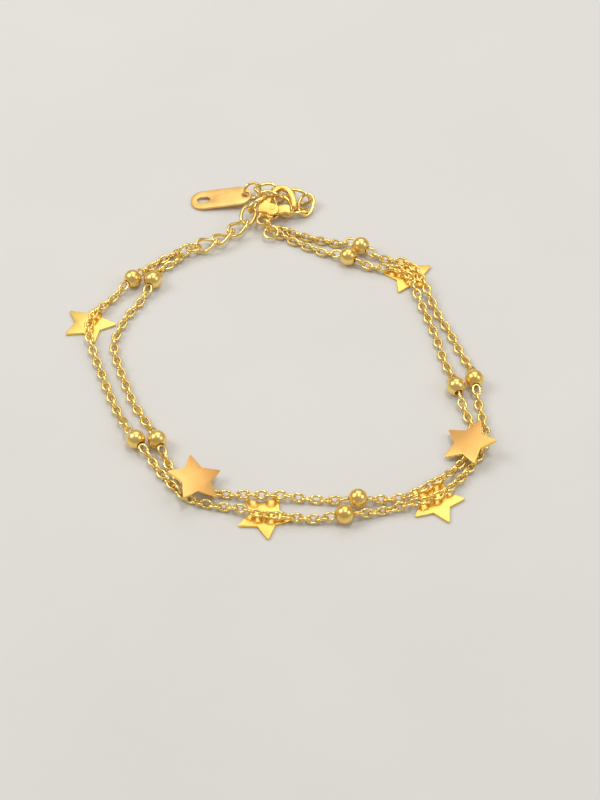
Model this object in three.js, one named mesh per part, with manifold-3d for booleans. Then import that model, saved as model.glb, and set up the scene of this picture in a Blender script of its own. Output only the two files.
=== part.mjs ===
// Two-strand bracelet of fine cable chain with round beads and flat star pendants, an extender
// chain with an oval tag, and a lobster clasp that grips the sixth extender link.
// Millimetres, +Z up. The bracelet lies on the plane z = 0 with the middle of its outline at the origin.
import * as THREE from "three";
import { mergeVertices } from "three/addons/utils/BufferGeometryUtils.js";
import Module from "manifold-3d";

// Strand chain, drawn as a tube of its outer diameter
const CHAIN_D = 1.2;
const CHAIN_SIDES = 8;
const CHAIN_STEP = 2.6;

// Beads
const BEAD_D = 3.0;
const BEAD_BORE_D = 1.84;
const BEAD_STATION_INSET = 0.1;
const BEAD_SEGMENTS = 12;
const BEAD_ARC_POINTS = 6;

// Star pendants: flat plate with a ring soldered upright on the middle of its back
const STAR_R = 4.6;
const STAR_INNER_RATIO = 0.518;
const STAR_TIP_TRIM = 0.12;
const STAR_THICKNESS = 0.45;
const LOOP_R = 0.72;
const LOOP_WIRE = 0.45;
const LOOP_STANDOFF = 0.78;

// Round wire of the rings and of the extender's oval links
const RING_WIRE = 0.5;
const RING_R = 1.2;
const TAG_RING_R = 1.45;
const LINK_WIRE = 0.6;
const LINK_LENGTH = 4.75;
const LINK_WIDTH = 3.1;
const WIRE_SIDES = 6;
const WIRE_SEGMENTS = 16;

// Tag
const TAG_LENGTH = 10.7;
const TAG_WIDTH = 4.4;
const TAG_THICKNESS = 0.4;
const TAG_HOLE_R = 0.65;
const TAG_HOLE_INSET = 1.05;
const TAG_SLOT_LENGTH = 2.3;
const TAG_SLOT_WIDTH = 1.4;
const TAG_SLOT_INSET = 1.1;

// Lobster clasp, in its own plane: x across it, y from the eye towards the hook
const CLASP_EYE = [-2.1, 28.8, 1.7];
const CLASP_TURN = -25;
const CLASP_PITCH = 9;
const HOOK_THICKNESS = 1;
const CHEEK_THICKNESS = 1.6;
const CHEEK_R = 1.25;
const EYE_R = 1.3;
const EYE_HOLE_R = 0.8;
const EYE_THICKNESS = 0.7;
const LEVER_THICKNESS = 0.6;
const LEVER_GAP = 0.2;
const PIVOT = [0.6, 2.45];
const PIVOT_R = 0.35;
const PIVOT_CLEARANCE = 0.2;
const LEVER_HUB_R = 0.9;
const PIN_EMBED = 0.2;
const THROUGH = 0.5;
// Room cut in the body for the lever's arm through its whole swing, from the pivot
const SWING_OUTLINE = [[0, -1.1], [4, -1.2], [4, 4], [-0.6, 4], [-1.1, 0]];
const SWING_R = 2.2;

const GOLD = { color: 0xf2c25c, roughness: 0.25, metalness: 1 };
const ORANGE_GOLD = { color: 0xe9a94c, roughness: 0.18, metalness: 1 };

const group = new THREE.Group();
const wasm = await Module();
wasm.setup();

function addMesh(name, geometry, finish = GOLD) {
  const mesh = new THREE.Mesh(geometry, new THREE.MeshStandardMaterial(finish));
  mesh.name = name;
  group.add(mesh);
  return mesh;
}

function radians(degrees) {
  return THREE.MathUtils.degToRad(degrees);
}

// A closed geometry as a solid, and a solid back as a geometry
function solid(geometry) {
  const plain = geometry.clone();
  plain.deleteAttribute("normal");
  plain.deleteAttribute("uv");
  const merged = mergeVertices(plain, 1e-4);
  const vertProperties = new Float32Array(merged.attributes.position.array);
  const triVerts = new Uint32Array(merged.index.array);
  return new wasm.Manifold(new wasm.Mesh({ numProp: 3, vertProperties, triVerts }));
}

function geometryOf(body) {
  const mesh = body.getMesh();
  const geometry = new THREE.BufferGeometry();
  geometry.setAttribute("position", new THREE.BufferAttribute(mesh.vertProperties, 3));
  geometry.setIndex(new THREE.BufferAttribute(mesh.triVerts, 1));
  geometry.computeVertexNormals();
  return geometry;
}

// A plate of a flat outline, centred on z = 0
function plate(shape, thickness, curveSegments = 6) {
  const geometry = new THREE.ExtrudeGeometry(shape, { depth: thickness, bevelEnabled: false, curveSegments });
  return geometry.translate(0, 0, -thickness / 2);
}

function disc(radius, thickness, segments, x = 0, y = 0) {
  const geometry = new THREE.CylinderGeometry(radius, radius, thickness, segments);
  return geometry.rotateX(Math.PI / 2).translate(x, y, 0);
}

// ---- Beads: small balls bored through, each threaded level on its strand ----

const OUTER_BEADS = [
  { x: -23.9, y: 14.9, heading: 230 },
  { x: -21.35, y: -20, heading: 305 },
  { x: 10.9, y: -34.6, heading: 9 },
  { x: 32.1, y: -7.55, heading: 97 },
  { x: 14.6, y: 22.7, heading: 141 },
];
const INNER_BEADS = [
  { x: -20.5, y: 14.6, heading: 250 },
  { x: -18.0, y: -20.1, heading: 293 },
  { x: 13.0, y: -31.6, heading: 359 },
  { x: 29.1, y: -9.1, heading: 103 },
  { x: 12.4, y: 20.1, heading: 150 },
];

function beadGeometry() {
  const boreR = BEAD_BORE_D / 2;
  const rim = Math.asin(boreR / (BEAD_D / 2));
  const profile = [];
  for (let i = 0; i <= BEAD_ARC_POINTS; i++) {
    const angle = rim + (i / BEAD_ARC_POINTS) * (Math.PI - 2 * rim);
    profile.push(new THREE.Vector2((BEAD_D / 2) * Math.sin(angle), -(BEAD_D / 2) * Math.cos(angle)));
  }
  profile.push(profile[0].clone());
  return new THREE.LatheGeometry(profile, BEAD_SEGMENTS);
}

function addBeads(strand, beads) {
  beads.forEach((bead, i) => {
    const mesh = addMesh(`bead_${strand}_${i + 1}`, beadGeometry(), ORANGE_GOLD);
    mesh.position.set(bead.x, bead.y, BEAD_D / 2);
    const along = new THREE.Vector3(Math.cos(radians(bead.heading)), Math.sin(radians(bead.heading)), 0);
    mesh.quaternion.setFromUnitVectors(new THREE.Vector3(0, 1, 0), along);
  });
}

addBeads("outer", OUTER_BEADS);
addBeads("inner", INNER_BEADS);

// ---- Strands: the chain's centre line, from the extender's end to the clasp's end ----
// A bead in a route stands for the level stretch through its bore. A new stretch starts at each
// pendant that the strand carries.

const FLOOR = CHAIN_D / 2;
const OVER_STAR = 1.35;
const [OB1, OB2, OB3, OB4, OB5] = OUTER_BEADS;
const [IB1, IB2, IB3, IB4, IB5] = INNER_BEADS;

const OUTER_STRETCHES = [
  [[-17.3, 21.25, 0.9], [-19.0, 20.25, 0.7], [-21.3, 18.2, 0.7], OB1, [-26.9, 11.1, 0.75],
    [-28.5, 8.8, 1.2], [-29.9, 6.8, OVER_STAR]],
  [[-30.5, 4.3, OVER_STAR], [-30.3, 2.2, 1.25], [-29.6, -0.4, 0.8], [-28.1, -4.7, FLOOR],
    [-26.5, -9.2, FLOOR], [-25.5, -11.8, FLOOR], [-24.4, -14.3, FLOOR], OB2, [-19.1, -23.1, 0.8],
    [-17.3, -25.9, FLOOR], [-15.4, -28.4, FLOOR], [-13.4, -30.6, FLOOR], [-11.5, -31.6, FLOOR],
    [-9.2, -32.3, FLOOR], [-6.8, -32.8, 0.75], [-4.6, -33.4, 1.25], [-2.4, -34.3, OVER_STAR]],
  [[0.05, -34.7, OVER_STAR], [1.6, -34.8, OVER_STAR], [4.5, -35, 1.0], [7.2, -35, 0.85], OB3,
    [15.6, -33.7, 0.7], [18.4, -33, 0.75], [20.8, -32.4, 1.3], [23.1, -31.9, OVER_STAR]],
  [[25.2, -30.9, OVER_STAR], [26.2, -30.2, OVER_STAR], [27.7, -28.6, 1.0], [29.3, -26.6, FLOOR],
    [30.9, -24.4, FLOOR], [32.6, -21.5, FLOOR], [33.3, -18.3, FLOOR], [32.9, -14.7, FLOOR],
    [32.5, -11.5, 0.75], OB4, [31.4, -3.8, 0.7], [30.2, -0.8, FLOOR], [29.3, 1.9, FLOOR],
    [28.3, 4.5, FLOOR], [27.2, 7.1, FLOOR], [26.3, 10, 0.75], [25.4, 12.7, 1.35], [24.4, 15.6, OVER_STAR],
    [23.6, 17.5, OVER_STAR], [22.3, 18.8, OVER_STAR], [19.8, 19.7, 0.95], [17.4, 20.7, 0.9], OB5,
    [10.6, 24, 0.7], [7.9, 24.8, FLOOR], [5.2, 25.7, FLOOR], [3.0, 26.7, FLOOR], [1.4, 27.5, FLOOR]],
];
const INNER_STRETCHES = [
  [[-16.6, 19.8, 0.9], [-18.0, 18.8, 0.7], [-19.4, 17.4, 0.9], IB1, [-21.9, 11.3, 0.75],
    [-23.1, 9.1, FLOOR], [-24.3, 7.1, FLOOR], [-25.3, 4.5, FLOOR], [-26.1, 1.4, FLOOR],
    [-25.9, -1.4, FLOOR], [-25.0, -4.2, FLOOR], [-24.2, -6.7, FLOOR], [-23.2, -9.4, FLOOR],
    [-22.2, -12, FLOOR], [-20.7, -14.7, FLOOR], [-19.6, -16.7, 0.75], IB2, [-16.7, -23.1, 0.75],
    [-15.6, -25.4, FLOOR], [-14.3, -27.2, 0.8], [-13.0, -28.4, 1.05]],
  [[-10.6, -29.2, 1.05], [-9.2, -29.7, 0.65], [-6.6, -30.4, 0.75], [-3.9, -30.7, 1.3], [-0.9, -30.8, 1.25],
    [1.9, -30.9, 1.3], [4.8, -31.1, 0.7], [7.4, -31.3, FLOOR], [10.0, -31.5, 0.95], IB3,
    [16.1, -31.4, 0.95], [18.9, -31.1, 0.75], [21.4, -30.5, 1.25], [23.7, -29, 1.3],
    [26.3, -27.2, 1.25], [28.3, -25.1, FLOOR], [29.6, -23.4, 0.75], [30.3, -22.3, 0.85]],
  [[31.1, -19.9, 0.85], [31.4, -18.4, FLOOR], [31.0, -15.9, FLOOR], [30.3, -13.7, 0.7], IB4,
    [28.5, -5.9, 0.75], [27.6, -3.1, FLOOR], [27.1, -0.6, FLOOR], [26.5, 2.2, FLOOR],
    [25.8, 5, FLOOR], [25.0, 7.7, FLOOR], [24.2, 10.4, 0.8], [23.3, 13.4, 1.3], [22.6, 15.6, OVER_STAR]],
  [[20.8, 17.4, OVER_STAR], [19.2, 17.8, 1.3], [16.7, 18.1, 0.8], [15.3, 18.7, 0.95], IB5,
    [9.4, 21.4, 0.85], [7.6, 22.2, FLOOR], [5.5, 23.3, FLOOR], [2.7, 24.9, FLOOR], [1.0, 26, FLOOR]],
];

// The two ends of the level stretch through a bead
function beadStations(bead) {
  const reach = BEAD_D / 2 - BEAD_STATION_INSET;
  const along = new THREE.Vector3(Math.cos(radians(bead.heading)), Math.sin(radians(bead.heading)), 0);
  const centre = new THREE.Vector3(bead.x, bead.y, BEAD_D / 2);
  return [-reach, reach].map((shift) => centre.clone().addScaledVector(along, shift));
}

function stretchCurve(stops) {
  const points = stops.flatMap((stop) => (stop.heading === undefined ? [stop] : beadStations(stop)));
  return new THREE.CatmullRomCurve3(points.map((point) => new THREE.Vector3(...point)), false, "centripetal");
}

function tubeSection(diameter, sides) {
  const corners = [];
  for (let i = 0; i < sides; i++) {
    const angle = ((i + 0.5) / sides) * 2 * Math.PI;
    corners.push(new THREE.Vector2((diameter / 2) * Math.cos(angle), (diameter / 2) * Math.sin(angle)));
  }
  return new THREE.Shape(corners);
}

function addStrand(strand, stretches) {
  stretches.forEach((stops, i) => {
    const curve = stretchCurve(stops);
    const steps = Math.ceil(curve.getLength() / CHAIN_STEP);
    const section = tubeSection(CHAIN_D, CHAIN_SIDES);
    const geometry = new THREE.ExtrudeGeometry(section, { steps, bevelEnabled: false, extrudePath: curve });
    addMesh(`chain_${strand}_${i + 1}`, geometry);
  });
}

addStrand("outer", OUTER_STRETCHES);
addStrand("inner", INNER_STRETCHES);

// ---- Star pendants ----
// turn: direction of one tip. chain: direction of the strand through the loop. lean: about the Y axis.
// A star with its face down rests on its face, its loop on top. A star with its face up lies on the chains.

const STARS = [
  { x: -30.6, y: 5.7, z: 0, turn: 141, chain: 256, faceUp: false, lean: 0, loopX: 0.3, loopY: -0.1 },
  { x: -11.7, y: -28.6, z: 2.5, turn: 103.8, chain: 342, faceUp: true, lean: 17, loopX: -0.1, loopY: -0.2 },
  { x: -1.1, y: -34, z: 0, turn: 133.3, chain: 353, faceUp: false, lean: 0, loopX: -0.1, loopY: -0.5 },
  { x: 24.9, y: -31.2, z: 0, turn: 149.8, chain: 25, faceUp: false, lean: 0, loopX: -0.8, loopY: -0.25 },
  { x: 30.4, y: -21.1, z: 2.0, turn: 133.6, chain: 72, faceUp: true, lean: -19, loopX: 0.3, loopY: 0 },
  { x: 22.6, y: 16.9, z: 0, turn: 173, chain: 135, faceUp: false, lean: 0, loopX: -0.9, loopY: -0.4 },
];

// Five-pointed outline whose sharp points are trimmed
function starShape(turn) {
  const innerR = STAR_R * STAR_INNER_RATIO;
  const corners = [];
  for (let i = 0; i < 5; i++) {
    const tip = radians(turn + 72 * i);
    const notch = tip + radians(36);
    for (const side of [-1, 1]) {
      const angle = tip + (side * STAR_TIP_TRIM) / STAR_R;
      corners.push(new THREE.Vector2(STAR_R * Math.cos(angle), STAR_R * Math.sin(angle)));
    }
    corners.push(new THREE.Vector2(innerR * Math.cos(notch), innerR * Math.sin(notch)));
  }
  return new THREE.Shape(corners);
}

function starGeometry(star) {
  const side = star.faceUp ? -1 : 1;
  const ring = new THREE.TorusGeometry(LOOP_R, LOOP_WIRE / 2, WIRE_SIDES, 12);
  ring.rotateX(Math.PI / 2);
  ring.rotateZ(radians(star.chain));
  ring.translate(star.loopX, star.loopY, side * (STAR_THICKNESS / 2 + LOOP_STANDOFF));
  return geometryOf(solid(plate(starShape(star.turn), STAR_THICKNESS)).add(solid(ring)));
}

STARS.forEach((star, i) => {
  const mesh = addMesh(`star_${i + 1}`, starGeometry(star), ORANGE_GOLD);
  mesh.position.set(star.x, star.y, star.faceUp ? star.z : star.z + STAR_THICKNESS / 2);
  mesh.rotation.y = radians(star.lean);
});

// ---- Round rings ----

function addRing(name, radius, centre, normal) {
  const mesh = addMesh(name, new THREE.TorusGeometry(radius, RING_WIRE / 2, WIRE_SIDES, WIRE_SEGMENTS));
  mesh.position.set(...centre);
  mesh.quaternion.setFromUnitVectors(new THREE.Vector3(0, 0, 1), new THREE.Vector3(...normal).normalize());
}

addRing("join_ring", RING_R, [-15.35, 21.6, 1.47], [-0.5, 0.87, 0]);
addRing("extender_ring", RING_R, [-14.02, 22.51, 1.27], [-0.07, 0.25, 0.97]);
addRing("clasp_ring", RING_R, [-1.39, 27.57, 1.54], [0.83, 0.56, 0.04]);
addRing("strand_ring", RING_R, [-0.77, 26.11, 1.39], [-0.2, -0.2, 0.96]);
addRing("tag_ring", TAG_RING_R, [-4.15, 36.21, 1.72], [0.3, -0.91, 0.29]);

// ---- Extender links: oval wire links, each between two joints of the chain ----
// roll turns the link's plane about its own length, from its first end to its second.

const EXTENDER_JOINTS = [
  [-13.3, 22.7, 1.05],
  [-10.15, 24.1, 1.34],
  [-7.62, 25.91, 1.47],
  [-5.31, 28.3, 1.67],
  [-4.31, 31.43, 1.87],
  [-2.3, 33.83, 2.66],
  [0.78, 33.49, 2.18],
  [1.88, 31.86, 0.98],
  [4.93, 32.12, 0.87],
  [5.58, 34.24, 1.54],
  [2.46, 35.54, 1.39],
  [-0.15, 36.56, 1.27],
  [-3.3, 37.08, 1.41],
];
const EXTENDER_ROLLS = [
  [71, -66],
  [37, -86],
  [47, -52],
  [43, 27],
  [86, 140],
  [70, 109],
  [-4, 32],
  [-19, -31],
  [29, 9],
  [-89, -55],
  [6, 13],
  [-77, 34],
];

function linkGeometry([rollStart, rollEnd]) {
  const endR = (LINK_WIDTH - LINK_WIRE) / 2;
  const straight = (LINK_LENGTH - LINK_WIDTH) / 2;
  const geometry = new THREE.TorusGeometry(endR, LINK_WIRE / 2, WIRE_SIDES, WIRE_SEGMENTS);
  geometry.rotateZ(Math.PI / WIRE_SEGMENTS);
  const position = geometry.attributes.position;
  const point = new THREE.Vector3();
  const lengthwise = new THREE.Vector3(1, 0, 0);
  for (let i = 0; i < position.count; i++) {
    point.fromBufferAttribute(position, i);
    point.x += Math.sign(point.x) * straight;
    const share = point.x / LINK_LENGTH + 0.5;
    point.applyAxisAngle(lengthwise, radians(rollStart + share * (rollEnd - rollStart)));
    position.setXYZ(i, point.x, point.y, point.z);
  }
  return geometry;
}

EXTENDER_ROLLS.forEach((rolls, i) => {
  const from = new THREE.Vector3(...EXTENDER_JOINTS[i]);
  const to = new THREE.Vector3(...EXTENDER_JOINTS[i + 1]);
  const mesh = addMesh(`extender_link_${i + 1}`, linkGeometry(rolls));
  mesh.position.copy(from).lerp(to, 0.5);
  const along = to.clone().sub(from).normalize();
  const across = new THREE.Vector3(0, 0, 1).cross(along).normalize();
  const above = along.clone().cross(across);
  mesh.quaternion.setFromRotationMatrix(new THREE.Matrix4().makeBasis(along, across, above));
});

// ---- Tag: flat oval plate with a ring hole at one end and a slot at the other ----

function tagShape() {
  const half = TAG_LENGTH / 2 - TAG_WIDTH / 2;
  const shape = new THREE.Shape();
  shape.absarc(half, 0, TAG_WIDTH / 2, -Math.PI / 2, Math.PI / 2, false);
  shape.absarc(-half, 0, TAG_WIDTH / 2, Math.PI / 2, 1.5 * Math.PI, false);
  const hole = new THREE.Path();
  hole.absarc(TAG_LENGTH / 2 - TAG_HOLE_INSET, 0, TAG_HOLE_R, 0, 2 * Math.PI, true);
  const slot = new THREE.Path();
  const slotR = TAG_SLOT_WIDTH / 2;
  const slotStart = -TAG_LENGTH / 2 + TAG_SLOT_INSET + slotR;
  const slotEnd = slotStart + TAG_SLOT_LENGTH - TAG_SLOT_WIDTH;
  slot.absarc(slotEnd, 0, slotR, Math.PI / 2, -Math.PI / 2, true);
  slot.absarc(slotStart, 0, slotR, -Math.PI / 2, -1.5 * Math.PI, true);
  shape.holes.push(hole, slot);
  return shape;
}

const tag = addMesh("tag", plate(tagShape(), TAG_THICKNESS, 8), ORANGE_GOLD);
tag.position.set(-9.65, 35.3, 0.8);
tag.rotation.set(0, radians(-6), radians(4));

// ---- Lobster clasp ----

// Outline of the hook and spine without the eye, anticlockwise from the eye's right side
const HOOK_OUTER = [[0.9, 0.4], [1.35, 1.2], [1.75, 1.9], [1.8, 2.6], [1.4, 3.35], [0.6, 3.55], [-0.05, 3.5],
  [-0.35, 4.0], [-0.5, 4.9], [-0.55, 5.6], [-0.45, 6.3], [-0.1, 6.95], [0.5, 7.2], [1.3, 6.95], [2.0, 6.35],
  [2.6, 5.6], [3.1, 4.8], [3.55, 4.35], [4.0, 4.45], [4.05, 5.0], [3.55, 5.85], [2.9, 6.75], [2.1, 7.5],
  [1.2, 8.0], [0.3, 8.1], [-0.55, 7.8], [-1.15, 7.1], [-1.3, 6.3], [-1.3, 5.4], [-1.35, 4.6], [-1.9, 4.0],
  [-2.45, 3.3], [-2.2, 2.2], [-1.65, 1.3], [-0.9, 0.4]];
const LEVER_OUTLINE = [[1.1, 1.7], [2.1, 2.25], [2.8, 2.75], [3.4, 2.8], [3.7, 3.2], [3.4, 3.65], [3.2, 4.1],
  [2.75, 4.5], [1.9, 4.25], [0.9, 3.35]];

function outline(points) {
  return new THREE.Shape(points.map(([x, y]) => new THREE.Vector2(x, y)));
}

function claspBody() {
  const [px, py] = PIVOT;
  const slotHeight = LEVER_THICKNESS + 2 * LEVER_GAP;
  let body = solid(plate(outline(HOOK_OUTER), HOOK_THICKNESS));
  body = body.add(solid(disc(CHEEK_R, CHEEK_THICKNESS, 16, px, py)));
  body = body.add(solid(disc(EYE_R, EYE_THICKNESS, 18)));
  body = body.subtract(solid(disc(EYE_HOLE_R, HOOK_THICKNESS + 2 * THROUGH, 12)));
  body = body.subtract(solid(disc(LEVER_HUB_R + LEVER_GAP, slotHeight, 16, px, py)));
  const swing = solid(plate(outline(SWING_OUTLINE.map(([x, y]) => [px + x, py + y])), slotHeight));
  body = body.subtract(swing.intersect(solid(disc(SWING_R, slotHeight, 24, px, py))));
  return geometryOf(body.add(solid(disc(PIVOT_R, slotHeight + 2 * PIN_EMBED, 12, px, py))));
}

function claspLever() {
  const [px, py] = PIVOT;
  let lever = solid(plate(outline(LEVER_OUTLINE), LEVER_THICKNESS));
  lever = lever.add(solid(disc(LEVER_HUB_R, LEVER_THICKNESS, 16, px, py)));
  const bore = solid(disc(PIVOT_R + PIVOT_CLEARANCE, LEVER_THICKNESS + 2 * THROUGH, 12, px, py));
  return geometryOf(lever.subtract(bore));
}

const clasp = new THREE.Group();
clasp.position.set(...CLASP_EYE);
clasp.rotation.order = "ZXY";
clasp.rotation.set(radians(CLASP_PITCH), 0, radians(CLASP_TURN));
clasp.add(addMesh("clasp_body", claspBody(), ORANGE_GOLD), addMesh("clasp_lever", claspLever(), ORANGE_GOLD));
group.add(clasp);

export default group;
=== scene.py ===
import math
import random

import bmesh
import bpy
from mathutils import Matrix, Vector


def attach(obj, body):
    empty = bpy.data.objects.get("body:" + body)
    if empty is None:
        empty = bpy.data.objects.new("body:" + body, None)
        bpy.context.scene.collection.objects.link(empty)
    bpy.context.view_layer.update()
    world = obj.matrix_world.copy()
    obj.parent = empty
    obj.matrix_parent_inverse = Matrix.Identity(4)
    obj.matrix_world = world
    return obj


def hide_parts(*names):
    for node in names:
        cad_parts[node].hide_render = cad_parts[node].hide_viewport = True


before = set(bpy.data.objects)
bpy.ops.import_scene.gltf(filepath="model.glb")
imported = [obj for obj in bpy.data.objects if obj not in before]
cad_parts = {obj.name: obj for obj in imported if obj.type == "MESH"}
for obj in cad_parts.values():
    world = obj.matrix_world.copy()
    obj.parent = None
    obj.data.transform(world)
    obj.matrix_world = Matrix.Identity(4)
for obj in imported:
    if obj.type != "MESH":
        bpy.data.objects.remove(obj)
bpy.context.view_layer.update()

hand = random.Random(11)


# ---------------------------------------------------------------- Fine cable chain
# Both strands are cable chain: oval links of drawn brass wire, each soldered shut and turned
# a quarter turn from the last, then plated. A strand's end links hook on the rings, and the
# links on either side of a pendant hook on the pendant's own small ring.

CABLE_WIRE = 0.00044
CABLE_LENGTH = 0.0023
CABLE_WIDTH = 0.00164
CABLE_PITCH = 0.00142
CABLE_ROLL = 44
ROLL_SCATTER = 6
# A link points along the run between places this share of its length before and after its middle.
LINK_GRIP = 0.26
# How soon an oval link's round ends turn into its straight flanks.
OVAL_FLANK = 1.2
# How far a link's middle is from the middle of the pendant's ring, and from the wire of a jump ring.
HANGER_HOOK = 0.00116
RING_HOOK = 0.0004
CABLE_PALE = (1.0, 0.81, 0.33)
CABLE_DEEP = (0.97, 0.69, 0.21)

BALL_RADIUS = 0.0015
# Half the level stretch of a strand through a ball, and how far the nearest link's middle is.
BALL_LEVEL = 0.0014
BALL_CLEAR = 0.00224
# Each ball is (x, y, the strand's direction in degrees).
OUTER_BALLS = [
    (-.0239, .0149, 230), (-.02135, -.02, 305), (.0109, -.0346, 9), (.0321, -.00755, 97),
    (.0146, .0227, 141),
]
INNER_BALLS = [
    (-.0205, .0146, 250), (-.018, -.0201, 293), (.013, -.0316, 359), (.0291, -.0091, 103),
    (.0124, .0201, 150),
]

# Each stretch is (from, stops, to). A whole number stands for a ball of that strand.
OUTER_RUNS = [
    ((-.01639, .021, .00147), [(-.0173, .02125, .0009), (-.019, .02025, .0007), (-.0213, .0182, .0007),
     0, (-.0269, .0111, .00075), (-.0285, .0088, .0012), (-.0299, .0068, .00135)], "star_1"),
    ("star_1", [(-.0305, .0043, .00135), (-.0303, .0022, .00125), (-.0296, -.0004, .0008),
     (-.0281, -.0047, .0006), (-.0265, -.0092, .0006), (-.0255, -.0118, .0006), (-.0244, -.0143, .0006),
     1, (-.0191, -.0231, .0008), (-.0173, -.0259, .0006), (-.0154, -.0284, .0006),
     (-.0134, -.0306, .0006), (-.0115, -.0316, .0006), (-.0092, -.0323, .0006),
     (-.0068, -.0328, .00075), (-.0046, -.0334, .00125), (-.0024, -.0343, .00135)], "star_3"),
    ("star_3", [(.00005, -.0347, .00135), (.0016, -.0348, .00135), (.0045, -.035, .001),
     (.0072, -.035, .00085), 2, (.0156, -.0337, .0007), (.0184, -.033, .00075), (.0208, -.0324, .0013),
     (.0231, -.0319, .00135)], "star_4"),
    ("star_4", [(.0252, -.0309, .00135), (.0262, -.0302, .00135), (.0277, -.0286, .001),
     (.0293, -.0266, .0006), (.0309, -.0244, .0006), (.0326, -.0215, .0006), (.0333, -.0183, .0006),
     (.0329, -.0147, .0006), (.0325, -.0115, .00075), 3, (.0314, -.0038, .0007), (.0302, -.0008, .0006),
     (.0293, .0019, .0006), (.0283, .0045, .0006), (.0272, .0071, .0006), (.0263, .01, .00075),
     (.0254, .0127, .00135), (.0244, .0156, .00135), (.0236, .0175, .00135), (.0223, .0188, .00135),
     (.0198, .0197, .00095), (.0174, .0207, .0009), 4, (.0106, .024, .0007), (.0079, .0248, .0006),
     (.0052, .0257, .0006), (.003, .0267, .0006), (.0014, .0275, .0007)], (.00023, .02707, .00103)),
]
INNER_RUNS = [
    ((-.01617, .02113, .00073), [(-.0166, .0198, .0009), (-.018, .0188, .0007), (-.0194, .0174, .0009),
     0, (-.0219, .0113, .00075), (-.0231, .0091, .0006), (-.0243, .0071, .0006), (-.0253, .0045, .0006),
     (-.0261, .0014, .0006), (-.0259, -.0014, .0006), (-.025, -.0042, .0006), (-.0242, -.0067, .0006),
     (-.0232, -.0094, .0006), (-.0222, -.012, .0006), (-.0207, -.0147, .0006), (-.0196, -.0167, .00075),
     1, (-.0167, -.0231, .00075), (-.0156, -.0254, .0006), (-.0143, -.0272, .0008),
     (-.013, -.0284, .00105)], "star_2"),
    ("star_2", [(-.0106, -.0292, .00105), (-.0092, -.0297, .00065), (-.0066, -.0304, .00075),
     (-.0039, -.0307, .0013), (-.0009, -.0308, .00125), (.0019, -.0309, .0013), (.0048, -.0311, .0007),
     (.0074, -.0313, .0006), (.01, -.0315, .00095), 2, (.0161, -.0314, .00095), (.0189, -.0311, .00075),
     (.0214, -.0305, .00125), (.0237, -.029, .0013), (.0263, -.0272, .00125), (.0283, -.0251, .0006),
     (.0296, -.0234, .00075), (.0303, -.0223, .00085)], "star_5"),
    ("star_5", [(.0311, -.0199, .00085), (.0314, -.0184, .0006), (.031, -.0159, .0006),
     (.0303, -.0137, .0007), 3, (.0285, -.0059, .00075), (.0276, -.0031, .0006), (.0271, -.0006, .0006),
     (.0265, .0022, .0006), (.0258, .005, .0006), (.025, .0077, .0006), (.0242, .0104, .0008),
     (.0233, .0134, .0013), (.0226, .0156, .00135)], "star_6"),
    ("star_6", [(.0208, .0174, .00135), (.0192, .0178, .0013), (.0167, .0181, .0008),
     (.0153, .0187, .00095), 4, (.0094, .0214, .00085), (.0076, .0222, .0006), (.0055, .0233, .0006),
     (.0027, .0249, .0006), (.001, .026, .0007)], (.00024, .02626, .00081)),
]

STAR_THICKNESS = 0.00045
HANGER_RISE = 0.00078
# Each star is (place, one tip's direction, the strand's direction, lean about Y, whether the face is
# up, the hanger's offset).
STARS = {
    "star_1": ((-.0306, .0057, .000225), 141, 256, 0, False, (.0003, -.0001)),
    "star_2": ((-.0117, -.0286, .0025), 103.8, 342, 17, True, (-.0001, -.0002)),
    "star_3": ((-.0011, -.034, .000225), 133.3, 353, 0, False, (-.0001, -.0005)),
    "star_4": ((.0249, -.0312, .000225), 149.8, 25, 0, False, (-.0008, -.00025)),
    "star_5": ((.0304, -.0211, .002), 133.6, 72, -19, True, (.0003, 0)),
    "star_6": ((.0226, .0169, .000225), 173, 135, 0, False, (-.0009, -.0004)),
}


class Value:
    """A shader socket's value, on which arithmetic adds Math nodes."""

    def __init__(self, finish, socket):
        self.finish = finish
        self.socket = socket

    def sum_with(self, operation, first, second):
        return self.finish.node("ShaderNodeMath", {"operation": operation}, {0: first, 1: second})

    def __add__(self, other):
        return self.sum_with("ADD", self, other)

    def __radd__(self, other):
        return self.sum_with("ADD", other, self)

    def __sub__(self, other):
        return self.sum_with("SUBTRACT", self, other)

    def __mul__(self, other):
        return self.sum_with("MULTIPLY", self, other)


class Finish:
    """A material being made up, node by node."""

    def __init__(self, name):
        self.material = bpy.data.materials.new(name)
        self.material.use_nodes = True
        self.tree = self.material.node_tree
        self.surface = self.tree.nodes["Principled BSDF"]

    def node(self, kind, settings=None, sockets=None, output=0):
        made = self.tree.nodes.new(kind)
        for name, setting in (settings or {}).items():
            setattr(made, name, setting)
        for socket, value in (sockets or {}).items():
            self.plug(made.inputs[socket], value)
        return Value(self, made.outputs[output])

    def blend(self, share, first, second):
        """One colour mixed into another. Each is a colour of three numbers, or a socket's value."""
        first, second = (c if isinstance(c, Value) else (*c, 1) for c in (first, second))
        return self.node("ShaderNodeMix", {"data_type": "RGBA"}, {0: share, 6: first, 7: second}, output=2)

    def plug(self, socket, value):
        if isinstance(value, Value):
            self.tree.links.new(value.socket, socket)
        else:
            socket.default_value = value

    def set(self, **inputs):
        for name, value in inputs.items():
            self.plug(self.surface.inputs[name.replace("_", " ")], value)


CLOUD_EDGES = (0.36, 0.64)
CLOUD_ROUGHENS = 0.08
SCRATCH_LEAN = (0.3, 0.2)
SCRATCH_CROSSING = 67
SCRATCH_SCALES = ((500.0, 14000.0, 9000.0), (800.0, 14000.0, 9000.0))
SCRATCH_EDGES = (0.6, 0.72)
SCRATCH_WEAR = 0.3
SCRATCH_ROUGHENS = 0.1
SCRATCH_HEIGHT = 0.5
PEEL_SCALE = 5200.0
PEEL_HEIGHT = 0.35
BUMP_STRENGTH = 0.35


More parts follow.
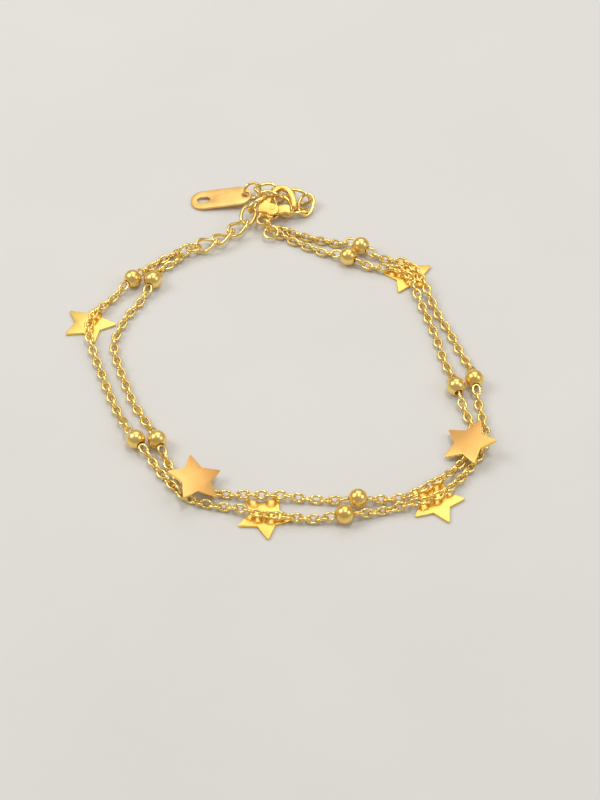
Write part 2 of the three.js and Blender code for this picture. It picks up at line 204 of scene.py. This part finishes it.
def gold_plating(name, pale, deep, cloud_scale, roughness, scratch_turn, scratch_depth):
    """Gold plating on brass: soft clouds of tone, hairline scratches two ways, and faint orange peel."""
    finish = Finish(name)
    place = finish.node("ShaderNodeTexCoord", output="Object")
    cloud = finish.node("ShaderNodeTexNoise", None, {"Vector": place, "Scale": cloud_scale, "Detail": 3.0})
    tone = finish.node("ShaderNodeMapRange", {"interpolation_type": "SMOOTHSTEP"},
                       {"Value": cloud, "From Min": CLOUD_EDGES[0], "From Max": CLOUD_EDGES[1]})
    lines = []
    for turn, scale in zip((scratch_turn, scratch_turn + SCRATCH_CROSSING), SCRATCH_SCALES):
        laid = finish.node("ShaderNodeMapping", None, {
            "Vector": place, "Rotation": (*SCRATCH_LEAN, math.radians(turn)), "Scale": scale})
        grain = finish.node("ShaderNodeTexNoise", None, {"Vector": laid, "Scale": 1.0, "Detail": 2.0})
        lines.append(finish.node("ShaderNodeMapRange", None, {
            "Value": grain, "From Min": SCRATCH_EDGES[0], "From Max": SCRATCH_EDGES[1]}))
    scratches = lines[0] + lines[1]
    peel = finish.node("ShaderNodeTexNoise", None, {"Vector": place, "Scale": PEEL_SCALE, "Detail": 2.0})
    base = finish.blend(tone, deep, pale)
    worn = finish.blend(scratches * SCRATCH_WEAR, base, pale)
    height = peel * PEEL_HEIGHT - scratches * SCRATCH_HEIGHT
    bump = finish.node("ShaderNodeBump", None, {
        "Strength": BUMP_STRENGTH, "Distance": scratch_depth, "Height": height})
    dulled = roughness + cloud * CLOUD_ROUGHENS + scratches * SCRATCH_ROUGHENS
    finish.set(Base_Color=worn, Metallic=1.0, Roughness=dulled, Normal=bump)
    return finish.material


def piece(name, bm, material, replaced, body="bracelet", smooth=40):
    """Makes a finished piece of a bmesh, in place of the CAD nodes named."""
    mesh = bpy.data.meshes.new(name)
    bm.to_mesh(mesh)
    bm.free()
    mesh.materials.append(material)
    made = bpy.data.objects.new(name, mesh)
    bpy.context.scene.collection.objects.link(made)
    mesh.shade_smooth()
    mesh.set_sharp_from_angle(angle=math.radians(smooth))
    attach(made, body)
    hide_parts(*replaced)
    return made


def stamp(bm, shape, place):
    """Adds a copy of a mesh to a bmesh, at the place given."""
    placed = shape.copy()
    placed.transform(place)
    bm.from_mesh(placed)
    bpy.data.meshes.remove(placed)


def wire_ring(radius, wire, steps, sides, gap=0.0):
    """Round ring of wire in the XY plane. With a gap its ends meet there, cut square."""
    bm = bmesh.new()
    section = bmesh.ops.create_circle(bm, segments=sides, radius=wire / 2, cap_ends=False)["verts"]
    bmesh.ops.rotate(bm, verts=section, matrix=Matrix.Rotation(math.pi / 2, 3, "X"))
    bmesh.ops.translate(bm, verts=section, vec=(radius, 0, 0))
    turn = 2 * math.pi if gap == 0 else 2 * math.pi - gap / radius
    start = math.pi / steps if gap == 0 else 0.0
    bmesh.ops.rotate(bm, verts=section, matrix=Matrix.Rotation(start, 3, "Z"))
    bmesh.ops.spin(bm, geom=bm.edges[:], axis=(0, 0, 1), cent=(0, 0, 0), angle=turn, steps=steps,
                   use_merge=gap == 0)
    if gap:
        bmesh.ops.holes_fill(bm, edges=[e for e in bm.edges if e.is_boundary], sides=0)
    bmesh.ops.recalc_face_normals(bm, faces=bm.faces[:])
    return bm


def oval_link(length, width, wire, steps, sides):
    """Oval link of wire in the XY plane, long along X."""
    bm = wire_ring((width - wire) / 2, wire, steps, sides)
    for v in bm.verts:
        pull = max(-1.0, min(1.0, OVAL_FLANK * v.co.x / v.co.xy.length))
        v.co.x += pull * (length - width) / 2
    return bm


def laid_along(middle, along, roll=0.0):
    """The place of something long along X: its middle, where it points, its turn about its length."""
    along = along.normalized()
    across = Vector((0, 0, 1)).cross(along).normalized()
    above = along.cross(across)
    turned = Matrix((along, across, above)).transposed().to_4x4()
    return Matrix.Translation(middle) @ turned @ Matrix.Rotation(math.radians(roll), 4, "X")


def star_place(star):
    """Where a pendant's plate lies."""
    place, lean = STARS[star][0], STARS[star][3]
    return Matrix.Translation(place) @ Matrix.Rotation(math.radians(lean), 4, "Y")


def hanger_centre(star):
    """The middle of a pendant's soldered ring, on the plate's back."""
    face_up, (dx, dy) = STARS[star][4], STARS[star][5]
    rise = STAR_THICKNESS / 2 + HANGER_RISE
    return star_place(star) @ Vector((dx, dy, -rise if face_up else rise))


def smooth_line(stops, per_span=14):
    """Points on a smooth curve through the stops, evenly parted by the root of their spacing."""
    ends = [2 * stops[0] - stops[1], *stops, 2 * stops[-1] - stops[-2]]
    line = []
    for a, b, c, d in zip(ends, ends[1:], ends[2:], ends[3:]):
        t1 = (b - a).length ** 0.5
        t2 = t1 + (c - b).length ** 0.5
        t3 = t2 + (d - c).length ** 0.5
        for i in range(per_span):
            t = t1 + (t2 - t1) * i / per_span
            ab, bc, cd = a.lerp(b, t / t1), b.lerp(c, (t - t1) / (t2 - t1)), c.lerp(d, (t - t2) / (t3 - t2))
            abc, bcd = ab.lerp(bc, t / t2), bc.lerp(cd, (t - t1) / (t3 - t1))
            line.append(abc.lerp(bcd, (t - t1) / (t2 - t1)))
    return [*line, stops[-1]]


class Run:
    """A line with its running length, on which links are strung."""

    def __init__(self, line):
        self.line = line
        self.marks = [0.0]
        for a, b in zip(line, line[1:]):
            self.marks.append(self.marks[-1] + (b - a).length)
        self.length = self.marks[-1]

    def at(self, mark):
        mark = min(max(mark, 0.0), self.length)
        i = next(k for k in range(1, len(self.marks)) if self.marks[k] >= mark)
        share = (mark - self.marks[i - 1]) / max(self.marks[i] - self.marks[i - 1], 1e-9)
        return self.line[i - 1].lerp(self.line[i], share)

    def nearest(self, point):
        return self.marks[min(range(len(self.line)), key=lambda k: (self.line[k] - point).length)]


def ball_place(ball):
    """Where a ball lies on the surface, and which way its holes point."""
    x, y, heading = ball
    along = Vector((math.cos(math.radians(heading)), math.sin(math.radians(heading)), 0))
    return Vector((x, y, BALL_RADIUS)), along


def string_links(bm, run, first, last, hooked):
    """Strings links between two marks, none below the floor. A link hooked on a pendant lies flat.

    Where the strand runs away from the viewer every second link lies flat, and where it runs across
    they lean both ways by turns."""
    count = math.ceil((last - first) / CABLE_PITCH) + 1
    far_side = -1 if (count - 1) % 2 == 0 else 1
    reach = CABLE_LENGTH * LINK_GRIP
    for i in range(count):
        mark = first + (last - first) * i / (count - 1)
        along = run.at(mark + reach) - run.at(mark - reach)
        near = 0.5 ** i if hooked[0] else 0.0
        far = 0.5 ** (count - 1 - i) if hooked[1] else 0.0
        twist = abs(along.normalized().y) * max(0.0, 1 - near - far)
        side = -1 if i % 2 == 0 else 1
        scatter = hand.uniform(-ROLL_SCATTER, ROLL_SCATTER)
        roll = CABLE_ROLL * (side + twist + near - far_side * far) + scatter
        middle = run.at(mark)
        tilt = abs(math.sin(math.radians(roll)))
        slope = abs(along.normalized().z)
        drop = math.hypot((CABLE_LENGTH - CABLE_WIRE) * slope, (CABLE_WIDTH - CABLE_WIRE) * tilt) / 2
        middle.z = max(middle.z, drop + CABLE_WIRE / 2)
        stamp(bm, cable_link, laid_along(middle, along, roll))


def string_cable(strand, runs, balls):
    """Strings one strand, a piece for each stretch between pendants."""
    for number, (start, stops, end) in enumerate(runs, 1):
        route = [hanger_centre(start) if isinstance(start, str) else Vector(start)]
        for stop in stops:
            if isinstance(stop, int):
                middle, along = ball_place(balls[stop])
                route += [middle - along * BALL_LEVEL, middle + along * BALL_LEVEL]
            else:
                route.append(Vector(stop))
        route.append(hanger_centre(end) if isinstance(end, str) else Vector(end))
        run = Run(smooth_line(route))
        hooks = [HANGER_HOOK if isinstance(side, str) else RING_HOOK for side in (start, end)]
        marks = [(hooks[0], isinstance(start, str))]
        for stop in stops:
            if isinstance(stop, int):
                mark = run.nearest(ball_place(balls[stop])[0])
                marks += [(mark - BALL_CLEAR, False), (mark + BALL_CLEAR, False)]
        marks.append((run.length - hooks[1], isinstance(end, str)))
        bm = bmesh.new()
        for (first, first_hooked), (last, last_hooked) in zip(marks[::2], marks[1::2]):
            string_links(bm, run, first, last, (first_hooked, last_hooked))
        piece(f"{strand}_cable_{number}", bm, cable_gold, [f"chain_{strand}_{number}"],
              smooth=80)


cable_gold = gold_plating("cable_plating", CABLE_PALE, CABLE_DEEP, 900.0, 0.17, 15, 0.00001)
cable_link = bpy.data.meshes.new("cable_link")
link_form = oval_link(CABLE_LENGTH, CABLE_WIDTH, CABLE_WIRE, 12, 6)
link_form.to_mesh(cable_link)
link_form.free()
string_cable("outer", OUTER_RUNS, OUTER_BALLS)
string_cable("inner", INNER_RUNS, INNER_BALLS)
bpy.data.meshes.remove(cable_link)


# ---------------------------------------------------------------- Balls
# Five pairs of hollow polished balls, drawn from sheet and closed to a small hole at each end,
# with the chain through them. The rims of the holes are turned in.

BALL_HOLE_RADIUS = 0.00062
BALL_RIM = 0.00012
BALL_PALE = (1.0, 0.74, 0.26)
BALL_DEEP = (0.98, 0.63, 0.16)


def polished_ball():
    """A ball with its holes along X, closed inside by a tube of the holes' size."""
    bm = bmesh.new()
    bmesh.ops.create_uvsphere(bm, u_segments=40, v_segments=28, radius=BALL_RADIUS)
    reach = math.sqrt(BALL_RADIUS**2 - BALL_HOLE_RADIUS**2)
    for side in (-1, 1):
        bmesh.ops.bisect_plane(bm, geom=[*bm.verts, *bm.edges, *bm.faces], plane_co=(0, 0, side * reach),
                               plane_no=(0, 0, side), clear_outer=True)
    rims = []
    for side in (-1, 1):
        rim = [e for e in bm.edges if e.is_boundary and e.verts[0].co.z * side > 0]
        lip = bmesh.ops.extrude_edge_only(bm, edges=rim)["geom"]
        inner = [v for v in lip if isinstance(v, bmesh.types.BMVert)]
        narrow = (BALL_HOLE_RADIUS - BALL_RIM * 0.5) / BALL_HOLE_RADIUS
        bmesh.ops.scale(bm, verts=inner, vec=(narrow, narrow, 1))
        bmesh.ops.translate(bm, verts=inner, vec=(0, 0, -side * BALL_RIM))
        rims += [e for e in lip if isinstance(e, bmesh.types.BMEdge)]
    bmesh.ops.bridge_loops(bm, edges=[e for e in rims if e.is_boundary])
    bmesh.ops.rotate(bm, verts=bm.verts, matrix=Matrix.Rotation(math.pi / 2, 3, "Y"))
    bmesh.ops.recalc_face_normals(bm, faces=bm.faces[:])
    return bm


ball_gold = gold_plating("ball_plating", BALL_PALE, BALL_DEEP, 420.0, 0.24, 40, 0.000006)
for strand, balls in (("outer", OUTER_BALLS), ("inner", INNER_BALLS)):
    for number, ball in enumerate(balls, 1):
        middle, along = ball_place(ball)
        bm = polished_ball()
        bmesh.ops.transform(bm, matrix=laid_along(middle, along, hand.uniform(0, 360)), verts=bm.verts)
        piece(f"{strand}_ball_{number}", bm, ball_gold, [f"bead_{strand}_{number}"])


# ---------------------------------------------------------------- Star pendants
# Six flat stars, blanked from sheet and tumbled so that their tips and edges are soft. Their faces
# are coloured a redder, darker gold than their backs. This is a painted reflection that stands in for
# the flat orange light a face turned up shows. A small ring of wire is soldered upright on each back,
# and the strand's links hook on it.

STAR_RADIUS = 0.0046
STAR_NOTCH = 0.518
STAR_TIP_ROUND = 0.0004
STAR_EDGE_ROUND = 0.00007
HANGER_RADIUS = 0.00072
HANGER_WIRE = 0.0004
SOLDER_RADIUS = 0.00042
SOLDER_TOP_SHARE = 0.7
SOLDER_HEIGHT = 0.00012
SOLDER_RISE = 0.00004
STAR_PALE = (1.0, 0.72, 0.2)
STAR_DEEP = (0.98, 0.64, 0.15)
# Painted reflection: the faces' redder, darker gold copies how a face turned up reflects the light.
STAR_FACE_PAINTED_REFLECTION_PALE = (0.98, 0.56, 0.18)
STAR_FACE_PAINTED_REFLECTION_DEEP = (0.96, 0.51, 0.15)


def thicken(bm, thickness, level=0.0):
    """Makes flat sheet in the XY plane into a plate with its middle at the level."""
    bmesh.ops.translate(bm, verts=bm.verts, vec=(0, 0, level - thickness / 2))
    raised = bmesh.ops.extrude_face_region(bm, geom=bm.faces[:])["geom"]
    top = [v for v in raised if isinstance(v, bmesh.types.BMVert)]
    bmesh.ops.translate(bm, verts=top, vec=(0, 0, thickness))
    bmesh.ops.recalc_face_normals(bm, faces=bm.faces[:])


def solder_on(bm, part, place=Matrix.Identity(4)):
    """Adds another bmesh at the place given, and frees it."""
    mesh = bpy.data.meshes.new("part")
    part.to_mesh(mesh)
    part.free()
    stamp(bm, mesh, place)
    bpy.data.meshes.remove(mesh)


def star_plate(tip):
    """The flat star, with one tip in the direction given."""
    bm = bmesh.new()
    corners = bmesh.ops.create_circle(bm, segments=10, radius=STAR_RADIUS, cap_ends=True)["verts"]
    corners.sort(key=lambda v: math.atan2(v.co.y, v.co.x) % (2 * math.pi))
    bmesh.ops.scale(bm, verts=corners[1::2], vec=(STAR_NOTCH, STAR_NOTCH, 1))
    first = math.degrees(math.atan2(corners[0].co.y, corners[0].co.x))
    bmesh.ops.rotate(bm, verts=bm.verts, matrix=Matrix.Rotation(math.radians(tip - first), 3, "Z"))
    thicken(bm, STAR_THICKNESS)
    upright = [e for e in bm.edges if abs(e.verts[0].co.z - e.verts[1].co.z) > STAR_THICKNESS / 2]
    tips = [e for e in upright if e.verts[0].co.xy.length > STAR_RADIUS * 0.8]
    bmesh.ops.bevel(bm, geom=tips, affect="EDGES", offset=STAR_TIP_ROUND, segments=5, profile=0.5,
                    material=-1)
    rims = [e for e in bm.edges if len(e.link_faces) == 2 and e.calc_face_angle() > math.radians(60)
            and abs(e.verts[0].co.z - e.verts[1].co.z) < STAR_THICKNESS / 4]
    bmesh.ops.bevel(bm, geom=rims, affect="EDGES", offset=STAR_EDGE_ROUND, segments=3, profile=0.5,
                    material=-1)
    return bm


star_gold = gold_plating("star_plating", STAR_PALE, STAR_DEEP, 260.0, 0.24, 25, 0.000005)
# The faces' material is the same plating in a redder, darker gold, which is a painted reflection. It is
# also rougher.
painted_reflection_face_gold = gold_plating("star_face_painted_reflection", STAR_FACE_PAINTED_REFLECTION_PALE, STAR_FACE_PAINTED_REFLECTION_DEEP, 200.0, 0.36, 25,
                              0.000005)
for star, (place, tip, strand_heading, lean, face_up, (dx, dy)) in STARS.items():
    bm = star_plate(tip)
    back = -1 if face_up else 1
    # The star's face takes the second material, with its painted reflection colour, and all else takes the
    # backs' gold.
    for face in bm.faces:
        face.material_index = 1 if face.normal.z * back < -0.9 else 0
    centre = Vector((dx, dy, back * (STAR_THICKNESS / 2 + HANGER_RISE)))
    upright = Matrix.Rotation(math.radians(strand_heading), 4, "Z") @ Matrix.Rotation(math.pi / 2, 4, "X")
    solder_on(bm, wire_ring(HANGER_RADIUS, HANGER_WIRE, 28, 12), Matrix.Translation(centre) @ upright)
    foot = Matrix.Translation((dx, dy, back * (STAR_THICKNESS / 2 + SOLDER_RISE)))
    lower, upper = (SOLDER_RADIUS, SOLDER_RADIUS * SOLDER_TOP_SHARE)[::back]
    bmesh.ops.create_cone(bm, cap_ends=True, cap_tris=False, segments=20, depth=SOLDER_HEIGHT, matrix=foot,
                          radius1=lower, radius2=upper)
    bmesh.ops.transform(bm, matrix=star_place(star), verts=bm.verts)
    pendant = piece(f"{star}_pendant", bm, star_gold, [star])
    pendant.data.materials.append(painted_reflection_face_gold)


# ---------------------------------------------------------------- Jump rings
# Open rings of half-millimetre wire, closed with pliers so that a hairline cut stays: one for
# both strands at each end, one at the extender's start, one in the clasp's eye, one in the tag.

RING_WIRE = 0.0005
RING_RADIUS = 0.0012
TAG_RING_RADIUS = 0.00145
RING_CUT = 0.00005
RING_PALE = (1.0, 0.81, 0.33)
RING_DEEP = (0.97, 0.69, 0.21)
# Each ring is (radius, centre, the way its hole faces, where its cut is).
JUMP_RINGS = {
    "join_ring": (RING_RADIUS, (-.01535, .0216, .00147), (-0.5, 0.87, 0), 70),
    "extender_ring": (RING_RADIUS, (-.01402, .02251, .00127), (-0.07, 0.25, 0.97), 200),
    "clasp_ring": (RING_RADIUS, (-.00139, .02757, .00154), (0.83, 0.56, 0.04), 40),
    "strand_ring": (RING_RADIUS, (-.00077, .02611, .00139), (-0.2, -0.2, 0.96), 250),
    "tag_ring": (TAG_RING_RADIUS, (-.00415, .03621, .00172), (0.3, -0.91, 0.29), 110),
}

ring_gold = gold_plating("ring_plating", RING_PALE, RING_DEEP, 700.0, 0.15, 70, 0.000008)
for ring, (radius, centre, facing, cut_at) in JUMP_RINGS.items():
    bm = wire_ring(radius, RING_WIRE, 48, 14, RING_CUT)
    bmesh.ops.rotate(bm, verts=bm.verts, matrix=Matrix.Rotation(math.radians(cut_at), 3, "Z"))
    facing_turn = Vector((0, 0, 1)).rotation_difference(Vector(facing)).to_matrix().to_4x4()
    bmesh.ops.transform(bm, matrix=Matrix.Translation(centre) @ facing_turn, verts=bm.verts)
    piece(f"{ring}_wire", bm, ring_gold, [ring])


# ---------------------------------------------------------------- Extender chain
# Twelve curb links of round wire, each twisted so that the next one lies flat against it.
# The clasp is hooked round the sixth, and the rest curls round to the tag.

EXTENDER_WIRE = 0.00062
EXTENDER_LENGTH = 0.00475
EXTENDER_WIDTH = 0.0031
EXTENDER_JOINTS = [
    (-.0133, .0227, .00105), (-.01015, .0241, .00134), (-.00762, .02591, .00147),
    (-.00531, .0283, .00167), (-.00432, .03141, .00196), (-.00226, .03372, .00265),
    (.00077, .03343, .00214), (.00188, .03186, .00098), (.00493, .03212, .00087),
    (.00558, .03424, .00154), (.00246, .03554, .00139), (-.00015, .03656, .00127),
    (-.0033, .03708, .00141),
]
# Each link's turn about its length at its first joint and at its next.
EXTENDER_ROLLS = [
    (71, -66), (37, -86), (47, -52), (43, 27), (86, 148), (60, 110), (-12, 30), (-19, -31), (29, 9),
    (-89, -55), (6, 13), (-77, 34),
]

extender_gold = gold_plating("extender_plating", RING_PALE, RING_DEEP, 520.0, 0.15, 10, 0.000009)
for number, (roll_start, roll_end) in enumerate(EXTENDER_ROLLS, 1):
    bm = oval_link(EXTENDER_LENGTH, EXTENDER_WIDTH, EXTENDER_WIRE, 48, 14)
    for v in bm.verts:
        share = v.co.x / EXTENDER_LENGTH + 0.5
        v.co.rotate(Matrix.Rotation(math.radians(roll_start + share * (roll_end - roll_start)), 3, "X"))
    start, end = (Vector(joint) for joint in EXTENDER_JOINTS[number - 1:number + 1])
    bmesh.ops.transform(bm, matrix=laid_along((start + end) / 2, end - start), verts=bm.verts)
    piece(f"extender_wire_{number}", bm, extender_gold, [f"extender_link_{number}"])


# ---------------------------------------------------------------- Tag
# Oval plate stamped from sheet, with a slot at its free end and a small hole for its ring. Its
# face is brushed lengthwise and its edge is softened by the die.

TAG_LENGTH = 0.0107
TAG_WIDTH = 0.0044
TAG_THICKNESS = 0.0004
TAG_HOLE_RADIUS = 0.00065
TAG_HOLE_INSET = 0.00105
TAG_SLOT = (0.0023, 0.0014)
TAG_SLOT_INSET = 0.0011
TAG_EDGE_ROUND = 0.00008
TAG_CENTRE = (-.00965, .0353, .0008)
TAG_TURN = 4
TAG_TILT = -6
TAG_PALE = (1.0, 0.68, 0.26)
TAG_DEEP = (0.97, 0.58, 0.18)


def round_rims(bm, rounding, segments):
    """Rounds the rims of a plate and of the holes in it."""
    rims = [e for e in bm.edges if e.calc_face_angle() > math.radians(60)]
    bmesh.ops.bevel(bm, geom=rims, affect="EDGES", offset=rounding, segments=segments, profile=0.5,
                    material=-1)


def stadium(bm, middle, length, width, segments):
    """A closed outline with round ends, long along X."""
    rim = bmesh.ops.create_circle(bm, segments=segments, radius=width / 2, cap_ends=False)["verts"]
    bmesh.ops.rotate(bm, verts=rim, matrix=Matrix.Rotation(math.pi / segments, 3, "Z"))
    for side in (-1, 1):
        half = [v for v in rim if v.co.x * side > 0]
        bmesh.ops.translate(bm, verts=half, vec=(side * (length - width) / 2, 0, 0))
    bmesh.ops.translate(bm, verts=rim, vec=(middle, 0, 0))


bm = bmesh.new()
slot_middle = -TAG_LENGTH / 2 + TAG_SLOT_INSET + TAG_SLOT[0] / 2
stadium(bm, 0, TAG_LENGTH, TAG_WIDTH, 72)
stadium(bm, slot_middle, *TAG_SLOT, 40)
stadium(bm, TAG_LENGTH / 2 - TAG_HOLE_INSET, 2 * TAG_HOLE_RADIUS, 2 * TAG_HOLE_RADIUS, 32)
bmesh.ops.triangle_fill(bm, use_beauty=True, use_dissolve=False, edges=bm.edges[:])
thicken(bm, TAG_THICKNESS)
round_rims(bm, TAG_EDGE_ROUND, 3)
tag_place = (Matrix.Translation(TAG_CENTRE) @ Matrix.Rotation(math.radians(TAG_TURN), 4, "Z")
             @ Matrix.Rotation(math.radians(TAG_TILT), 4, "Y"))
bmesh.ops.transform(bm, matrix=tag_place, verts=bm.verts)
tag_gold = gold_plating("tag_plating", TAG_PALE, TAG_DEEP, 300.0, 0.36, 0, 0.000012)
piece("tag_plate", bm, tag_gold, ["tag"])


# ---------------------------------------------------------------- Lobster clasp
# Cast body with a hook, two cheeks and an eye. The lever turns on a riveted pin between the
# cheeks, and a coil spring hidden under it shuts it against the hook's tip.

CLASP_EYE = (-.0021, .0288, .0017)
CLASP_TURN = -25
CLASP_PITCH = 9
HOOK_THICKNESS = 0.001
HOOK_ROUND = 0.00024
CHEEK_THICKNESS = 0.0004
CHEEK_FACE = 0.0008
CHEEK_ROUND = 0.00015
EYE_RADIUS = 0.0013
EYE_HOLE_RADIUS = 0.0008
EYE_THICKNESS = 0.0007
PIVOT = (.0006, .00245)
PIN_RADIUS = 0.00035
PIN_ROUND = 0.00002
PIN_HEAD_RADIUS = 0.00042
PIN_HEAD_THICKNESS = 0.0002
PIN_HEAD_ROUND = 0.00008
PIN_HEAD_SUNK = 0.00002
LEVER_THICKNESS = 0.0006
LEVER_ROUND = 0.00014
LEVER_BORE_RADIUS = 0.00045
SPAN_POINTS = 3
ROUND_CORNERS = 16
CLASP_PALE = (0.97, 0.68, 0.22)
CLASP_DEEP = (0.92, 0.57, 0.14)
HOOK_OUTLINE = [
    (.0009, .0004), (.0013, .0008), (.00125, .0013), (.0004, .0012), (-.00035, .0016), (-.0005, .0025),
    (-.0003, .0033), (-.00035, .004), (-.0005, .0049), (-.00055, .0056), (-.00045, .0063),
    (-.0001, .00695), (.0005, .0072), (.0013, .00695), (.002, .00635), (.0026, .0056), (.0031, .0048),
    (.00355, .00435), (.004, .00445), (.00405, .005), (.00355, .00585), (.0029, .00675), (.0021, .0075),
    (.0012, .008), (.0003, .0081), (-.00055, .0078), (-.00115, .0071), (-.0013, .0063), (-.0013, .0054),
    (-.00135, .0046), (-.0019, .004), (-.00245, .0033), (-.0022, .0022), (-.00165, .0013),
    (-.0009, .0004), (-.00075, .00075), (0, .00106), (.00075, .00075),
]
CHEEK_OUTLINE = [
    (-.0014, .0009), (0, .0012), (.0011, .001), (.0017, .0018), (.00178, .0026), (.0013, .0033),
    (.0005, .0035), (-.0004, .0034), (-.0011, .0037), (-.0019, .0036), (-.0022, .003), (-.002, .002),
]
LEVER_OUTLINE = [
    (.0011, .0017), (.0021, .00225), (.0028, .00275), (.0034, .0028), (.0037, .0032), (.0034, .00365),
    (.0032, .0041), (.00275, .0045), (.0019, .00425), (.0009, .00335), (-.0002, .0028), (-.0003, .0021),
    (.0003, .00155),
]


def rounded_slab(outline, thickness, rounding, level=0.0, bore=()):
    """A plate of a smooth closed outline, its rims rounded. A bore is the outline of a hole in it."""
    closed = [Vector((*corner, 0)) for corner in outline]
    doubled = 2 * SPAN_POINTS
    closed = smooth_line([*closed[-2:], *closed, *closed[:2]], SPAN_POINTS)[doubled:-doubled - 1]
    bm = bmesh.new()
    for loop in (closed, [Vector((*corner, 0)) for corner in bore]):
        rim = [bm.verts.new(corner) for corner in loop]
        for i in range(len(rim)):
            bm.edges.new((rim[i - 1], rim[i]))
    bmesh.ops.triangle_fill(bm, use_beauty=True, use_dissolve=False, edges=bm.edges[:])
    thicken(bm, thickness, level)
    round_rims(bm, rounding, 4)
    return bm


def circle_outline(x, y, radius):
    turns = [2 * math.pi * i / ROUND_CORNERS for i in range(ROUND_CORNERS)]
    return [(x + radius * math.cos(turn), y + radius * math.sin(turn)) for turn in turns]


clasp_place = (Matrix.Translation(CLASP_EYE) @ Matrix.Rotation(math.radians(CLASP_TURN), 4, "Z")
               @ Matrix.Rotation(math.radians(CLASP_PITCH), 4, "X"))
clasp_gold = gold_plating("clasp_plating", CLASP_PALE, CLASP_DEEP, 480.0, 0.27, 55, 0.000008)

body = rounded_slab(HOOK_OUTLINE, HOOK_THICKNESS, HOOK_ROUND)
for side in (-1, 1):
    level = side * (CHEEK_FACE - CHEEK_THICKNESS / 2)
    solder_on(body, rounded_slab(CHEEK_OUTLINE, CHEEK_THICKNESS, CHEEK_ROUND, level))
    head_level = side * (CHEEK_FACE - PIN_HEAD_SUNK)
    head_outline = circle_outline(*PIVOT, PIN_HEAD_RADIUS)
    pin_head = rounded_slab(head_outline, PIN_HEAD_THICKNESS, PIN_HEAD_ROUND, head_level)
    solder_on(body, pin_head)
pin_length = 2 * CHEEK_FACE - PIN_HEAD_THICKNESS
solder_on(body, rounded_slab(circle_outline(*PIVOT, PIN_RADIUS), pin_length, PIN_ROUND))
eye = wire_ring((EYE_RADIUS + EYE_HOLE_RADIUS) / 2, EYE_RADIUS - EYE_HOLE_RADIUS, 40, 14)
bmesh.ops.scale(eye, verts=eye.verts, vec=(1, 1, EYE_THICKNESS / (EYE_RADIUS - EYE_HOLE_RADIUS)))
solder_on(body, eye)
bmesh.ops.transform(body, matrix=clasp_place, verts=body.verts)
piece("clasp_casting", body, clasp_gold, ["clasp_body"])

lever_bore = circle_outline(*PIVOT, LEVER_BORE_RADIUS)
lever = rounded_slab(LEVER_OUTLINE, LEVER_THICKNESS, LEVER_ROUND, bore=lever_bore)
bmesh.ops.transform(lever, matrix=clasp_place, verts=lever.verts)
piece("clasp_thumb_lever", lever, clasp_gold, ["clasp_lever"], body="lever")


# ---------------------------------------------------------------- Floor, light and camera
# A plain pale sheet, three large soft panels and a small lamp overhead, and a camera held as a
# hand holds it over a counter.

FLOOR_SIZE = 1.5
FLOOR_DROP = 0.00002
FLOOR_CLOUD_SCALE = 30.0
FLOOR_DEEP = (0.7, 0.69, 0.67)
FLOOR_PALE = (0.75, 0.74, 0.72)
SCENE_MIDDLE = (0, 0, 0)
WARM_WHITE = (1.0, 0.98, 0.94)
WORLD_COLOUR = (0.5, 0.49, 0.47)
WORLD_STRENGTH = 0.8
CAMERA_PLACE = (0.0042, -0.2005, 0.2214)
CAMERA_AIM = (0.0042, -0.0107, 0)
CAMERA_LENS = 82.26

floor_finish = Finish("pale_floor")
floor_place = floor_finish.node("ShaderNodeTexCoord", output="Object")
floor_cloud = floor_finish.node("ShaderNodeTexNoise", None, {
    "Vector": floor_place, "Scale": FLOOR_CLOUD_SCALE, "Detail": 4.0})
floor_finish.set(Base_Color=floor_finish.blend(floor_cloud, FLOOR_DEEP, FLOOR_PALE), Roughness=0.85)
bm = bmesh.new()
bmesh.ops.create_grid(bm, x_segments=1, y_segments=1, size=FLOOR_SIZE)
bmesh.ops.translate(bm, verts=bm.verts, vec=(0, 0, -FLOOR_DROP))
floor_mesh = bpy.data.meshes.new("floor")
bm.to_mesh(floor_mesh)
bm.free()
floor_mesh.materials.append(floor_finish.material)
floor = bpy.data.objects.new("floor", floor_mesh)
bpy.context.scene.collection.objects.link(floor)


def soft_light(name, place, size, power, colour):
    """A panel of light turned to the middle of the scene."""
    light = bpy.data.lights.new(name, "AREA")
    light.shape = "RECTANGLE"
    light.size, light.size_y = size
    light.energy = power
    light.color = colour
    made = bpy.data.objects.new(name, light)
    made.location = place
    made.rotation_euler = (Vector(SCENE_MIDDLE) - Vector(place)).to_track_quat("-Z", "Y").to_euler()
    bpy.context.scene.collection.objects.link(made)


soft_light("back", (0.05, 0.42, 0.55), (0.55, 0.45), 1.1, WARM_WHITE)
soft_light("key", (-0.45, 0.1, 0.5), (0.35, 0.35), 1.5, WARM_WHITE)
soft_light("side", (0.5, -0.1, 0.4), (0.25, 0.3), 0.5, (1.0, 0.99, 0.97))
soft_light("lamp", (0.12, 0.02, 0.65), (0.12, 0.12), 0.8, (1.0, 0.98, 0.95))

world = bpy.data.worlds.new("studio")
world.use_nodes = True
background = world.node_tree.nodes["Background"]
background.inputs["Color"].default_value = (*WORLD_COLOUR, 1)
background.inputs["Strength"].default_value = WORLD_STRENGTH
bpy.context.scene.world = world

camera_data = bpy.data.cameras.new("camera")
camera_data.sensor_fit = "AUTO"
camera_data.sensor_width = 36
camera_data.lens = CAMERA_LENS
camera_data.clip_start, camera_data.clip_end = 0.01, 10
camera = bpy.data.objects.new("camera", camera_data)
camera.location = CAMERA_PLACE
camera.rotation_euler = (Vector(CAMERA_AIM) - camera.location).to_track_quat("-Z", "Y").to_euler()
bpy.context.scene.collection.objects.link(camera)
bpy.context.scene.camera = camera
bpy.context.scene.view_settings.view_transform = "Standard"
